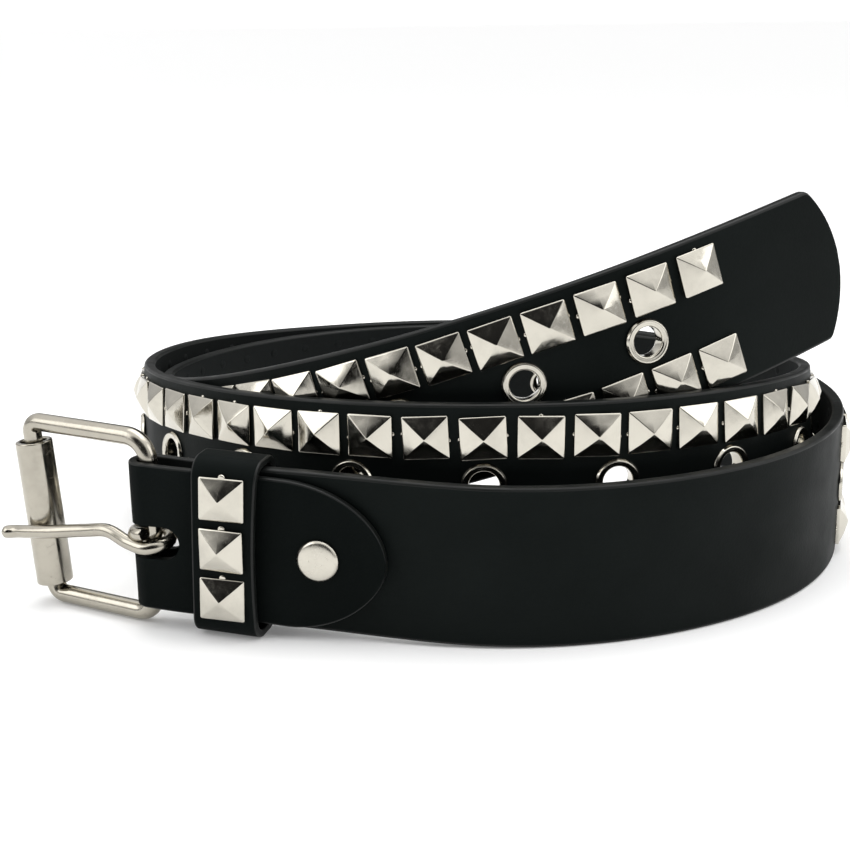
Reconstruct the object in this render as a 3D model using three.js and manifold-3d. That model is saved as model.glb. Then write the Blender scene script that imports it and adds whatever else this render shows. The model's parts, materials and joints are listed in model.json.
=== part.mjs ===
// Waist belt coiled on its edge: a studded strap in two and a third turns, with a roller buckle.
// Millimetres, +Z up. The strap stands on its edge, and the buckle end faces -Y.
import * as THREE from 'three';
import { mergeVertices } from 'three/addons/utils/BufferGeometryUtils.js';
import Module from 'manifold-3d';

const wasm = await Module();
wasm.setup();

// Strap and coil
const STRAP_WIDTH = 38;
const STRAP_THICK = 3;
const COIL_REACH = 90;
const STRAP_START = 22;
const TIP_MARGIN = 40;
const TIP_ROUND = 6.5;

// Pyramid studs, in two rows whose columns line up
const STUD_SIDE = 10.2;
const STUD_RIM = 0.9;
const STUD_RISE = 2.1;
const STUD_SINK = 0.6;
const STUD_PITCH = 12.55;
const STUD_COLUMNS = 84;
const FIRST_STUD = 199.6;
const ROW_OFFSET = 11.3;

// Eyelets along the middle line, counted back from the tip and spaced in stud pitches
const EYELET_BORE = 5.6;
const EYELET_WALL = 0.5;
const EYELET_OUTER = 10.2;
const EYELET_RISE = 0.9;
const EYELET_BACK = 0.5;
const EYELET_SIDES = 10;
const EYELET_COUNT = 35;
const EYELET_PITCHES = 2.404;
const TIP_EYELET_PITCHES = 1.32;

// Chape: the thinner leather fold that holds the buckle
const CHAPE_THICK = 1.9;
const CHAPE_WIDTH = 35.4;
const TAB_LENGTH = 56.5;
const FLAP_LENGTH = 54;
const TAB_ROUND = 24;
const TAB_POINT = 0.62;
const CHAPE_RISE = 1.3;
const CHAPE_LEVEL = 26;
const SLOT_LENGTH = 8.5;
const SLOT_HEIGHT = 8;

// Keeper: the leather loop that takes the tail
const KEEPER_WIDTH = 15;
const KEEPER_HEIGHT = 42.9;
const KEEPER_THICK = 1.8;
const KEEPER_ROUND = 2.6;
const KEEPER_ROOM = 1.8;
const KEEPER_AT = 20;
const KEEPER_TURN = -4;
const KEEPER_TILT = 2;
const KEEPER_STUDS = 3;
const KEEPER_PITCH = 12;
const KEEPER_STUD_RISE = 1;

// Snap that closes the chape round the strap
const SNAP_CAP = 10.5;
const SNAP_BACK = 9;
const SNAP_RISE = 1.3;
const SNAP_SHANK = 3.4;
const SNAP_AT = 40.8;
const SNAP_SIDES = 16;

// Roller buckle
const WIRE = 4.4;
const FRAME_HEIGHT = 47.8;
const FRAME_REACH = 33;
const FRAME_CORNER = 2.8;
const FRAME_SKEW = 2;
const FRAME_TURN = -13;
const ROLLER_OUTER = 8.8;
const ROLLER_WALL = 1.4;
const ROLLER_LENGTH = 35.8;
const ROLLER_DROP = 1;
const TONGUE_WIRE = 3.2;
const TONGUE_TIP = 6.6;
const TONGUE_KICK = 1.7;
const TONGUE_AT = 22;
const WIRE_SIDES = 8;

// Clearances
const GAP = 0.3;
const FLOOR_GAP = 0.2;

// Route of the strap's lower edge, a control row every ROUTE_STEP degrees round the coil.
// reach is a share of COIL_REACH, lift a share of STRAP_WIDTH, and lean is outward degrees.
const ROUTE_STEP = 30;
const ROUTE_START = -136;
const ROUTE = [
  { turn: -180, reach: 2.21, lift: 0.085, lean: 0 },
  { turn: -150, reach: 1.35, lift: 0.085, lean: 0 },
  { turn: -120, reach: 0.905, lift: 0.07, lean: 0 },
  { turn: -90, reach: 0.915, lift: 0, lean: 0 },
  { turn: -60, reach: 0.98, lift: 0, lean: 0 },
  { turn: -30, reach: 1.105, lift: 0, lean: 0 },
  { turn: 0, reach: 1.17, lift: 0, lean: 0 },
  { turn: 30, reach: 1.15, lift: 0, lean: 0 },
  { turn: 60, reach: 1.13, lift: 0, lean: 0 },
  { turn: 90, reach: 1.14, lift: 0, lean: 0 },
  { turn: 120, reach: 1.175, lift: 0, lean: 0 },
  { turn: 150, reach: 1.145, lift: 0.13, lean: -1 },
  { turn: 180, reach: 1.055, lift: 0.24, lean: -4 },
  { turn: 210, reach: 0.9, lift: 0.35, lean: -5 },
  { turn: 240, reach: 0.81, lift: 0.41, lean: -3 },
  { turn: 270, reach: 0.78, lift: 0.44, lean: 1 },
  { turn: 300, reach: 0.87, lift: 0.43, lean: -2 },
  { turn: 330, reach: 1.03, lift: 0.4, lean: -5 },
  { turn: 360, reach: 1.09, lift: 0.23, lean: -3 },
  { turn: 390, reach: 1.03, lift: 0.06, lean: 0 },
  { turn: 420, reach: 1.04, lift: 0, lean: 0 },
  { turn: 450, reach: 1.065, lift: 0, lean: 0 },
  { turn: 480, reach: 1.085, lift: 0, lean: 1 },
  { turn: 510, reach: 1.045, lift: 0.04, lean: 1 },
  { turn: 540, reach: 0.965, lift: 0.14, lean: 0 },
  { turn: 570, reach: 0.815, lift: 0.36, lean: 0 },
  { turn: 600, reach: 0.735, lift: 0.63, lean: -1 },
  { turn: 630, reach: 0.69, lift: 0.88, lean: -3 },
  { turn: 660, reach: 0.785, lift: 1.17, lean: -5 },
  { turn: 690, reach: 0.985, lift: 1.52, lean: -5 },
  { turn: 720, reach: 1.54, lift: 1.98, lean: -2 },
  { turn: 750, reach: 1.62, lift: 2.5, lean: 0 },
];

// Sizes that follow
const TIP_STUD = FIRST_STUD + (STUD_COLUMNS - 1) * STUD_PITCH;
const STRAP_END = TIP_STUD + TIP_MARGIN;
const CHAPE_OFFSET = STRAP_THICK / 2 + GAP + CHAPE_THICK / 2;
const FOLD_RADIUS = WIRE / 2 + GAP + CHAPE_THICK / 2;
const KEEPER_DEPTH = STRAP_THICK + 2 * (CHAPE_THICK + 2 * GAP + KEEPER_THICK) + KEEPER_ROOM;
const BUCKLE_MIDDLE = FLOOR_GAP + FRAME_HEIGHT / 2;
const SKEW_ANGLE = Math.atan(2 * FRAME_SKEW / (FRAME_HEIGHT - WIRE));

const UP = new THREE.Vector3(0, 0, 1);
const { degToRad } = THREE.MathUtils;

const leather = new THREE.MeshStandardMaterial({ color: 0x161616, roughness: 0.55, metalness: 0 });
const nickel = new THREE.MeshStandardMaterial({ color: 0xd4d0ca, roughness: 0.18, metalness: 1 });

// Solids

function solidFrom(geometry) {
  const bare = geometry.clone();
  bare.deleteAttribute('normal');
  bare.deleteAttribute('uv');
  const merged = mergeVertices(bare, 1e-4);
  const corners = Array.from(merged.index.array);
  const triangles = [];
  for (let k = 0; k < corners.length; k += 3) {
    const [a, b, c] = corners.slice(k, k + 3);
    if (a !== b && b !== c && c !== a) triangles.push(a, b, c);
  }
  return new wasm.Manifold(new wasm.Mesh({
    numProp: 3,
    vertProperties: new Float32Array(merged.attributes.position.array),
    triVerts: new Uint32Array(triangles),
  }));
}

function geometryFrom(solid) {
  const { vertProperties, triVerts } = solid.getMesh();
  const geometry = new THREE.BufferGeometry();
  geometry.setAttribute('position', new THREE.BufferAttribute(vertProperties, 3));
  geometry.setIndex(new THREE.BufferAttribute(triVerts, 1));
  geometry.computeVertexNormals();
  return geometry;
}

// A closed band through stations of { centre, up, side, half, thick }.
function bandGeometry(stations) {
  const corners = [[1, -1], [1, 1], [-1, 1], [-1, -1]];
  const points = [];
  const index = [];
  for (const { centre, up, side, half, thick } of stations) {
    for (const [across, along] of corners) {
      const point = centre.clone().addScaledVector(side, across * thick / 2);
      points.push(...point.addScaledVector(up, along * half));
    }
  }
  const quad = (a, b, c, d) => index.push(a, b, c, a, c, d);
  for (let row = 0; row + 1 < stations.length; row += 1) {
    for (let k = 0; k < 4; k += 1) {
      const next = (k + 1) % 4;
      quad(4 * row + k, 4 * row + 4 + k, 4 * row + 4 + next, 4 * row + next);
    }
  }
  const last = 4 * (stations.length - 1);
  quad(0, 1, 2, 3);
  quad(last + 3, last + 2, last + 1, last);
  const geometry = new THREE.BufferGeometry();
  geometry.setAttribute('position', new THREE.Float32BufferAttribute(points, 3));
  geometry.setIndex(index);
  geometry.computeVertexNormals();
  return geometry;
}

// A turned piece from a profile of [radius, height] pairs, with its axis along the local Y.
function turned(profile, sides, startAngle = 0) {
  const points = profile.map(([radius, height]) => new THREE.Vector2(radius, height));
  return new THREE.LatheGeometry(points, sides, startAngle);
}

function wireSection(diameter) {
  const points = [];
  for (let k = 0; k < WIRE_SIDES; k += 1) {
    const angle = (k + 0.5) * 2 * Math.PI / WIRE_SIDES;
    points.push(new THREE.Vector2(Math.cos(angle), Math.sin(angle)).multiplyScalar(diameter / 2));
  }
  return new THREE.Shape(points);
}

// Route of the strap

function routePoint(turn) {
  const place = (turn - ROUTE[0].turn) / ROUTE_STEP;
  const row = THREE.MathUtils.clamp(Math.floor(place), 1, ROUTE.length - 3);
  const t = place - row;
  const weights = [
    (1 - t) ** 3 / 6,
    (3 * t ** 3 - 6 * t ** 2 + 4) / 6,
    (-3 * t ** 3 + 3 * t ** 2 + 3 * t + 1) / 6,
    t ** 3 / 6,
  ];
  const point = new THREE.Vector3();
  let lean = 0;
  weights.forEach((weight, k) => {
    const control = ROUTE[row - 1 + k];
    const angle = degToRad(control.turn);
    const reach = control.reach * COIL_REACH;
    point.x += weight * reach * Math.cos(angle);
    point.y += weight * reach * Math.sin(angle);
    point.z += weight * control.lift * STRAP_WIDTH;
    lean += weight * control.lean;
  });
  return { point, lean: degToRad(lean) };
}

// Lengths along the route, one for each degree from the buckle's rear bar on.
const routeLengths = [0];
for (let turn = ROUTE_START; routeLengths.at(-1) < STRAP_END + STUD_PITCH; turn += 1) {
  const step = routePoint(turn).point.distanceTo(routePoint(turn + 1).point);
  routeLengths.push(routeLengths.at(-1) + step);
}

function turnAt(length) {
  let row = routeLengths.findIndex((value) => value > length) - 1;
  if (row < 0) row = 0;
  const [before, after] = [routeLengths[row], routeLengths[row + 1]];
  return ROUTE_START + row + (length - before) / (after - before);
}

// The strap's frame at a length from the rear bar: its middle, along, out and up.
function strapFrame(length) {
  const turn = turnAt(length);
  const { point, lean } = routePoint(turn);
  const along = routePoint(turn + 0.5).point.sub(routePoint(turn - 0.5).point).normalize();
  const level = new THREE.Vector3().crossVectors(along, UP).normalize();
  const upright = new THREE.Vector3().crossVectors(level, along);
  const up = upright.clone().multiplyScalar(Math.cos(lean)).addScaledVector(level, Math.sin(lean));
  const out = level.clone().multiplyScalar(Math.cos(lean)).addScaledVector(upright, -Math.sin(lean));
  const centre = point.addScaledVector(up, STRAP_WIDTH / 2);
  return { centre, along, out, up };
}

// Places a turned piece with its axis out of the strap, offset out from the middle and up.
function facingOut(length, outward, upward = 0) {
  const { centre, along, out, up } = strapFrame(length);
  const place = centre.addScaledVector(out, outward).addScaledVector(up, upward);
  return new THREE.Matrix4().makeBasis(along, out, up.clone().negate()).setPosition(place);
}

// The level frame of the buckle end: local X along the strap, Y inward and Z up.
function levelFrame(length, height) {
  const { centre, along } = strapFrame(length);
  const level = along.clone().setZ(0).normalize();
  const inward = new THREE.Vector3().crossVectors(UP, level);
  return new THREE.Matrix4().makeBasis(level, inward, UP).setPosition(centre.setZ(height));
}

function placed(geometry, matrix) {
  return geometry.applyMatrix4(matrix);
}

// Half widths of a rounded end: shares of the full half width at distances from the tip.
function endSteps(depth, halfAt) {
  const count = 7;
  const steps = [];
  for (let k = 0; k < count; k += 1) {
    const distance = depth * (1 - Math.cos(k * Math.PI / 2 / count)) + GAP / 2;
    steps.push({ distance, half: halfAt(distance) });
  }
  return steps;
}

// Strap

function tipHalf(distance) {
  const half = STRAP_WIDTH / 2;
  const radius = (half ** 2 + TIP_ROUND ** 2) / (2 * TIP_ROUND);
  return Math.sqrt(radius ** 2 - (radius - distance) ** 2);
}

function strapStation(length, half) {
  const { centre, out, up } = strapFrame(length);
  return { centre, up, side: out, half, thick: STRAP_THICK };
}

function strapBand() {
  const stations = [strapStation(STRAP_START, STRAP_WIDTH / 2)];
  const first = FIRST_STUD - STUD_PITCH * (Math.floor((FIRST_STUD - STRAP_START) / STUD_PITCH) - 0.5);
  for (let length = first; length < STRAP_END - TIP_ROUND - STUD_PITCH / 2; length += STUD_PITCH) {
    stations.push(strapStation(length, STRAP_WIDTH / 2));
  }
  stations.push(strapStation(STRAP_END - TIP_ROUND, STRAP_WIDTH / 2));
  for (const { distance, half } of endSteps(TIP_ROUND, tipHalf).reverse()) {
    stations.push(strapStation(STRAP_END - distance, half));
  }
  return bandGeometry(stations);
}

function pyramid(foot) {
  const corner = STUD_SIDE / Math.SQRT2;
  const profile = [[0, -foot], [corner, -foot], [corner, STUD_RIM], [0, STUD_RIM + STUD_RISE]];
  return turned(profile, 4, Math.PI / 4);
}

function eyeletLengths() {
  const lengths = [];
  for (let k = 0; k < EYELET_COUNT; k += 1) {
    lengths.push(TIP_STUD - (TIP_EYELET_PITCHES + k * EYELET_PITCHES) * STUD_PITCH);
  }
  return lengths.reverse();
}

function bore(place, diameter, reach) {
  const radius = diameter / 2;
  const profile = [[0, -reach], [radius, -reach], [radius, reach], [0, reach]];
  return solidFrom(placed(turned(profile, EYELET_SIDES), place));
}

const eyeletHole = EYELET_BORE + 2 * (EYELET_WALL + GAP);
const snapHole = SNAP_SHANK + 2 * GAP;
const snapPlace = facingOut(SNAP_AT, 0, chapeRise(SNAP_AT));

function strap() {
  const studs = [];
  for (let column = 0; column < STUD_COLUMNS; column += 1) {
    for (const row of [-1, 1]) {
      const length = FIRST_STUD + column * STUD_PITCH;
      const place = facingOut(length, STRAP_THICK / 2, row * ROW_OFFSET);
      studs.push(solidFrom(placed(pyramid(STUD_SINK), place)));
    }
  }
  const holes = eyeletLengths().map((length) => bore(facingOut(length, 0), eyeletHole, STRAP_THICK));
  holes.push(bore(snapPlace, snapHole, STRAP_THICK));
  const studded = wasm.Manifold.union([solidFrom(strapBand()), ...studs]);
  return geometryFrom(studded.subtract(wasm.Manifold.union(holes)));
}

function eyelet() {
  const inner = EYELET_BORE / 2;
  const face = STRAP_THICK / 2 + GAP;
  const back = -STRAP_THICK / 2 - EYELET_BACK;
  return turned([
    [inner, back],
    [inner + EYELET_WALL, back],
    [inner + EYELET_WALL, face],
    [EYELET_OUTER / 2, face],
    [inner, face + EYELET_RISE],
    [inner, back],
  ], EYELET_SIDES);
}

// Chape

// How far the chape sits above the strap's middle: a little at the buckle, and below at its tip.
function chapeRise(length) {
  return CHAPE_RISE * (1 - length / CHAPE_LEVEL);
}

function tabHalf(distance) {
  const run = 1 - Math.min(distance / TAB_ROUND, 1);
  return CHAPE_WIDTH / 2 * (1 - run ** 2) ** TAB_POINT;
}

// One flap of the chape, from the fold to its round end, on the side that sign gives.
function flapStations(end, sign) {
  const stations = [];
  const add = (length, half) => {
    const { centre, out, up } = strapFrame(length);
    const settle = THREE.MathUtils.smoothstep(length, WIRE, STRAP_START - GAP);
    const offset = THREE.MathUtils.lerp(FOLD_RADIUS, CHAPE_OFFSET, settle);
    centre.addScaledVector(out, sign * offset).addScaledVector(up, chapeRise(length));
    stations.push({ centre, up, side: out.multiplyScalar(-sign), half, thick: CHAPE_THICK });
  };
  const step = STUD_PITCH / 3;
  for (let length = step; length < end - TAB_ROUND - step / 2; length += step) {
    add(length, CHAPE_WIDTH / 2);
  }
  add(end - TAB_ROUND, CHAPE_WIDTH / 2);
  for (const { distance, half } of endSteps(TAB_ROUND, tabHalf).reverse()) add(end - distance, half);
  return stations;
}

function foldStations() {
  const { centre, along, out, up } = strapFrame(0);
  centre.addScaledVector(up, CHAPE_RISE);
  const count = 8;
  const stations = [];
  for (let k = 0; k <= count; k += 1) {
    const angle = k * Math.PI / count;
    const [sin, cos] = [Math.sin(angle), Math.cos(angle)];
    const reach = out.clone().multiplyScalar(cos).addScaledVector(along, -sin);
    const point = centre.clone().addScaledVector(reach, FOLD_RADIUS);
    const side = reach.negate();
    stations.push({ centre: point, up, side, half: CHAPE_WIDTH / 2, thick: CHAPE_THICK });
  }
  return stations;
}

function chape() {
  const front = flapStations(TAB_LENGTH, 1).reverse();
  const back = flapStations(FLAP_LENGTH, -1);
  const leaf = solidFrom(bandGeometry([...front, ...foldStations(), ...back]));
  const slotWidth = SLOT_LENGTH + 2 * FOLD_RADIUS;
  const slot = new THREE.BoxGeometry(slotWidth, 6 * FOLD_RADIUS, SLOT_HEIGHT);
  slot.translate(SLOT_LENGTH - slotWidth / 2, 0, 0);
  const cut = solidFrom(placed(slot, levelFrame(0, TONGUE_AT)));
  return geometryFrom(leaf.subtract(cut).subtract(bore(snapPlace, snapHole, 2 * CHAPE_OFFSET)));
}

// Keeper

function roundedRect(outline, width, height, radius) {
  const [x, y] = [width / 2, height / 2];
  outline.moveTo(-x + radius, -y);
  outline.lineTo(x - radius, -y);
  outline.absarc(x - radius, -y + radius, radius, -Math.PI / 2, 0);
  outline.absarc(x - radius, y - radius, radius, 0, Math.PI / 2);
  outline.absarc(-x + radius, y - radius, radius, Math.PI / 2, Math.PI);
  outline.absarc(-x + radius, -y + radius, radius, Math.PI, 1.5 * Math.PI);
  return outline;
}

// The loose keeper sits a little turned and tilted, with its lower corner on the surface.
const keeperTilt = degToRad(KEEPER_TILT);
const keeperMiddle = (KEEPER_HEIGHT * Math.cos(keeperTilt) + KEEPER_WIDTH * Math.sin(keeperTilt)) / 2;
const keeperPlace = levelFrame(KEEPER_AT, keeperMiddle)
  .multiply(new THREE.Matrix4().makeRotationZ(degToRad(KEEPER_TURN)))
  .multiply(new THREE.Matrix4().makeRotationY(keeperTilt));

function keeper() {
  const ring = roundedRect(new THREE.Shape(), KEEPER_DEPTH, KEEPER_HEIGHT, KEEPER_ROUND);
  const [depth, height] = [KEEPER_DEPTH - 2 * KEEPER_THICK, KEEPER_HEIGHT - 2 * KEEPER_THICK];
  const round = KEEPER_ROUND - KEEPER_THICK;
  ring.holes.push(roundedRect(new THREE.Path(), depth, height, round));
  const loop = new THREE.ExtrudeGeometry(ring, { depth: KEEPER_WIDTH, bevelEnabled: false, curveSegments: 3 });
  loop.translate(0, 0, -KEEPER_WIDTH / 2);
  const turn = new THREE.Matrix4().makeBasis(
    new THREE.Vector3(0, 1, 0),
    new THREE.Vector3(0, 0, 1),
    new THREE.Vector3(1, 0, 0),
  );
  return placed(placed(loop, turn), keeperPlace);
}

function keeperStud(number) {
  const up = ((KEEPER_STUDS + 1) / 2 - number) * KEEPER_PITCH + KEEPER_STUD_RISE;
  const stud = pyramid(0);
  stud.rotateX(Math.PI);
  stud.translate(0, -KEEPER_DEPTH / 2 - GAP, up);
  return placed(stud, keeperPlace);
}

// Snap

function snap() {
  const outer = CHAPE_OFFSET + CHAPE_THICK / 2 + GAP;
  const [cap, back, shank] = [SNAP_CAP / 2, SNAP_BACK / 2, SNAP_SHANK / 2];
  const rivet = turned([
    [0, -outer - SNAP_RISE / 2],
    [back * 0.8, -outer - SNAP_RISE / 2],
    [back, -outer],
    [shank, -outer],
    [shank, outer],
    [cap, outer],
    [cap * 0.94, outer + SNAP_RISE / 2],
    [cap * 0.7, outer + SNAP_RISE],
    [0, outer + SNAP_RISE],
  ], SNAP_SIDES);
  return placed(rivet, snapPlace);
}

// Buckle, in a frame whose Z axis is the rear bar

function wireFrame() {
  const height = FRAME_HEIGHT - WIRE;
  const corners = [[0, -1], [0, 1], [-1, 1], [-1, -1]];
  const arcSteps = 3;
  const path = [];
  corners.forEach(([across, along], k) => {
    const middle = new THREE.Vector3(
      across * FRAME_REACH + (across ? FRAME_CORNER : -FRAME_CORNER),
      0,
      along * (height / 2 - FRAME_CORNER),
    );
    for (let step = 0; step <= arcSteps; step += 1) {
      const angle = (k - 1 + step / arcSteps) * Math.PI / 2;
      const reach = new THREE.Vector3(Math.cos(angle), 0, Math.sin(angle));
      const centre = middle.clone().addScaledVector(reach, FRAME_CORNER);
      centre.x += FRAME_SKEW * 2 * centre.z / height * centre.x / FRAME_REACH;
      path.push({ centre, reach });
    }
  });
  const points = [];
  const index = [];
  for (const { centre, reach } of path) {
    for (let k = 0; k < WIRE_SIDES; k += 1) {
      const angle = (k + 0.5) * 2 * Math.PI / WIRE_SIDES;
      const point = centre.clone().addScaledVector(reach, Math.cos(angle) * WIRE / 2);
      points.push(point.x, point.y + Math.sin(angle) * WIRE / 2, point.z);
    }
  }
  for (let row = 0; row < path.length; row += 1) {
    const ahead = (row + 1) % path.length;
    for (let k = 0; k < WIRE_SIDES; k += 1) {
      const next = (k + 1) % WIRE_SIDES;
      const [a, b] = [row * WIRE_SIDES + k, row * WIRE_SIDES + next];
      const [c, d] = [ahead * WIRE_SIDES + next, ahead * WIRE_SIDES + k];
      index.push(a, b, c, a, c, d);
    }
  }
  const geometry = new THREE.BufferGeometry();
  geometry.setAttribute('position', new THREE.Float32BufferAttribute(points, 3));
  geometry.setIndex(index);
  geometry.computeVertexNormals();
  return geometry;
}

function roller() {
  const [outer, inner] = [ROLLER_OUTER / 2, ROLLER_OUTER / 2 - ROLLER_WALL];
  const half = ROLLER_LENGTH / 2;
  const tube = turned([[inner, -half], [outer, -half], [outer, half], [inner, half], [inner, -half]], 16);
  tube.rotateX(Math.PI / 2).translate(0, 0, -ROLLER_DROP).rotateY(-SKEW_ANGLE);
  return tube.translate(-FRAME_REACH, 0, 0);
}

// The tongue's wire: one turn round the rear bar, a step up, and a run over the roller.
function tongue() {
  const curl = WIRE / 2 + GAP + TONGUE_WIRE / 2;
  const rise = TONGUE_WIRE + GAP;
  const points = [];
  for (let angle = 280; angle >= -90; angle -= 30) {
    const radians = degToRad(angle);
    const height = ((angle + 90) / 360 - 0.5) * rise;
    points.push(new THREE.Vector3(Math.cos(radians) * curl, Math.sin(radians) * curl, height));
  }
  const onRoller = ROLLER_OUTER / 2 + GAP + TONGUE_WIRE / 2;
  points.push(new THREE.Vector3(-FRAME_REACH * 0.13, -curl, -rise * 0.25));
  points.push(new THREE.Vector3(-FRAME_REACH * 0.3, -curl, rise * 0.3));
  points.push(new THREE.Vector3(-FRAME_REACH * 0.5, -curl - GAP, rise * 0.05));
  points.push(new THREE.Vector3(-FRAME_REACH * 0.8, -onRoller + GAP, -rise * 0.35));
  points.push(new THREE.Vector3(-FRAME_REACH, -onRoller - GAP / 2, -rise * 0.6));
  points.push(new THREE.Vector3(-FRAME_REACH - TONGUE_TIP * 0.5, -onRoller - GAP, -rise * 0.72));
  points.push(new THREE.Vector3(-FRAME_REACH - TONGUE_TIP, -onRoller - TONGUE_KICK, -rise * 0.8));
  const path = new THREE.CatmullRomCurve3(points, false, 'centripetal');
  const wire = new THREE.ExtrudeGeometry(wireSection(TONGUE_WIRE), { steps: 40, extrudePath: path });
  return wire.translate(0, 0, TONGUE_AT - BUCKLE_MIDDLE);
}

// Assembly

function piece(name, geometry, material) {
  const mesh = new THREE.Mesh(geometryFrom(solidFrom(geometry)), material);
  mesh.name = name;
  return mesh;
}

const belt = new THREE.Group();
belt.add(piece('strap', strap(), leather));
eyeletLengths().forEach((length, k) => {
  const ring = piece(`eyelet_${String(k + 1).padStart(2, '0')}`, eyelet(), nickel);
  ring.applyMatrix4(facingOut(length, 0));
  belt.add(ring);
});
belt.add(piece('chape', chape(), leather));
belt.add(piece('snap', snap(), nickel));
belt.add(piece('keeper', keeper(), leather));
for (let number = 1; number <= KEEPER_STUDS; number += 1) {
  belt.add(piece(`keeper_stud_${number}`, keeperStud(number), nickel));
}

const buckle = new THREE.Group();
buckle.applyMatrix4(levelFrame(0, BUCKLE_MIDDLE));
buckle.rotateZ(degToRad(FRAME_TURN));
buckle.add(piece('buckle_frame', wireFrame(), nickel));
buckle.add(piece('roller', roller(), nickel));
buckle.add(piece('tongue', tongue(), nickel));
belt.add(buckle);

// The origin is under the middle of the whole, on the surface that it stands on.
const bounds = new THREE.Box3().setFromObject(belt);
const middle = bounds.getCenter(new THREE.Vector3());
belt.position.set(-middle.x, -middle.y, -bounds.min.z);

export default belt;
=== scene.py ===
"""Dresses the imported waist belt: leather, studs, eyelets, chape, keeper, snap and roller buckle."""

import json
import math
import random
from bisect import bisect_right

import bmesh
import bpy
from bpy.props import FloatProperty, FloatVectorProperty, IntProperty, PointerProperty
from mathutils import Matrix, Vector


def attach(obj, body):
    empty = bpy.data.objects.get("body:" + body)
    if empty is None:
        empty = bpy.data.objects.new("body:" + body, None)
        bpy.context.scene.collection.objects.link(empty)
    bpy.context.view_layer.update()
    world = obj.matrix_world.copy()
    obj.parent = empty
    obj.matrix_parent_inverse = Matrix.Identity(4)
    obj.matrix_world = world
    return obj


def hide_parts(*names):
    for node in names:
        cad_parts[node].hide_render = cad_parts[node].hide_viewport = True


bl_info = {
    "name": "Studded Waist Belt",
    "version": (1, 0, 0),
    "blender": (4, 5, 0),
    "location": "View3D > Sidebar > Belt",
    "description": "Builds the pieces of a coiled studded belt over its solids",
    "category": "Object",
}

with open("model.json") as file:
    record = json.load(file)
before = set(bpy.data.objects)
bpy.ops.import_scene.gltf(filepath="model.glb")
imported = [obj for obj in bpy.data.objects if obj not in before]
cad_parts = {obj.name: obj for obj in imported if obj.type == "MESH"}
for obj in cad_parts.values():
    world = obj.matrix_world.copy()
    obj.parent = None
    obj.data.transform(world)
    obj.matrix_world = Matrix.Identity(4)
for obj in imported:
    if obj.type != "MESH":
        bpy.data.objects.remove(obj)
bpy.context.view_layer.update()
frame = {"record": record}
MM = 0.001

# Coil and strap, as in the solids
STRAP_WIDTH = 38 * MM
STRAP_THICK = 3 * MM
COIL_REACH = 90 * MM
STRAP_START = 22 * MM
TIP_MARGIN = 40 * MM
TIP_ROUND = 6.5 * MM
TIP_RUN = 12 * MM
TIP_LAST = 0.12 * MM
TIP_LEAST = 0.6 * MM
EDGE_STEPS = 4
BORE_SIDES = 32
BORE_ROOM = 0.5 * MM
BORE_REACH = 2.6 * MM

# Studs and eyelets along the strap
STUD_PITCH = 12.55 * MM
STUD_COLUMNS = 84
FIRST_STUD = 199.6 * MM
ROW_OFFSET = 11.3 * MM
EYELET_COUNT = 35
EYELET_PITCHES = 2.404
TIP_EYELET_PITCHES = 1.32

# Prongs: share of studs whose roots show at their sides, how far these slide and tuck in, how far
# their marks on the lining are from a stud's middle, and the marks' play in radians
PRONG_SIDEWAYS = 0.55
PRONG_SLIDE = 0.8 * MM
PRONG_TUCK = 0.15 * MM
PRONG_MARK = 3.4 * MM
MARK_PLAY = 0.05

# Chape, keeper and snap
CHAPE_THICK = 1.9 * MM
CHAPE_WIDTH = 35.4 * MM
CHAPE_RISE = 1.3 * MM
CHAPE_LEVEL = 26 * MM
TAB_LENGTH = 56.5 * MM
FLAP_LENGTH = 54 * MM
TAB_ROUND = 24 * MM
TAB_POINT = 0.62
TAB_FULL = 0.48
TAB_SETTLE = 4.4 * MM
TAB_CROWN = 0.25 * MM
CROWN_START = 24 * MM
CROWN_WHOLE = 34 * MM
FOLD_FLARE = 0.28 * MM
SLOT_LENGTH = 8.5 * MM
SLOT_HEIGHT = 8 * MM
BACK_SLOT_LENGTH = 7 * MM
FRONT_SLOT_DEPTH = 0.43 * MM
BACK_SLOT_DEPTH = 0.31 * MM
KEEPER_WIDTH = 15 * MM
KEEPER_HEIGHT = 42.9 * MM
KEEPER_THICK = 1.8 * MM
KEEPER_ROOM = 1.8 * MM
KEEPER_AT = 20 * MM
KEEPER_TURN = -4
KEEPER_TILT = 2
KEEPER_STUDS = 3
KEEPER_PITCH = 12 * MM
KEEPER_STUD_RISE = 1 * MM
KEEPER_BEND = 5 * MM
KEEPER_BELLY = 0.8 * MM
KEEPER_FACE = 16 * MM
SNAP_AT = 40.8 * MM

# Buckle
FRAME_WIRE = 4.4 * MM
FRAME_HEIGHT = 47.8 * MM
FRAME_REACH = 33 * MM
FRAME_CORNER = 2.8 * MM
FRAME_BEND = 5.5 * MM
FRAME_SKEW = 2 * MM
FRAME_TURN = -13
ROLLER_OUTER = 8.8 * MM
ROLLER_WALL = 1.4 * MM
ROLLER_LENGTH = 35.8 * MM
ROLLER_DROP = 1 * MM
ROLLER_LIP = 0.35 * MM
ROLLER_SEAM = 0.22 * MM
ROLLER_SEAM_TURN = 60
TONGUE_TIP = 6.6 * MM
TONGUE_KICK = 1.7 * MM
TONGUE_AT = 22 * MM
GAP = 0.3 * MM
FLOOR_GAP = 0.2 * MM

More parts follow.
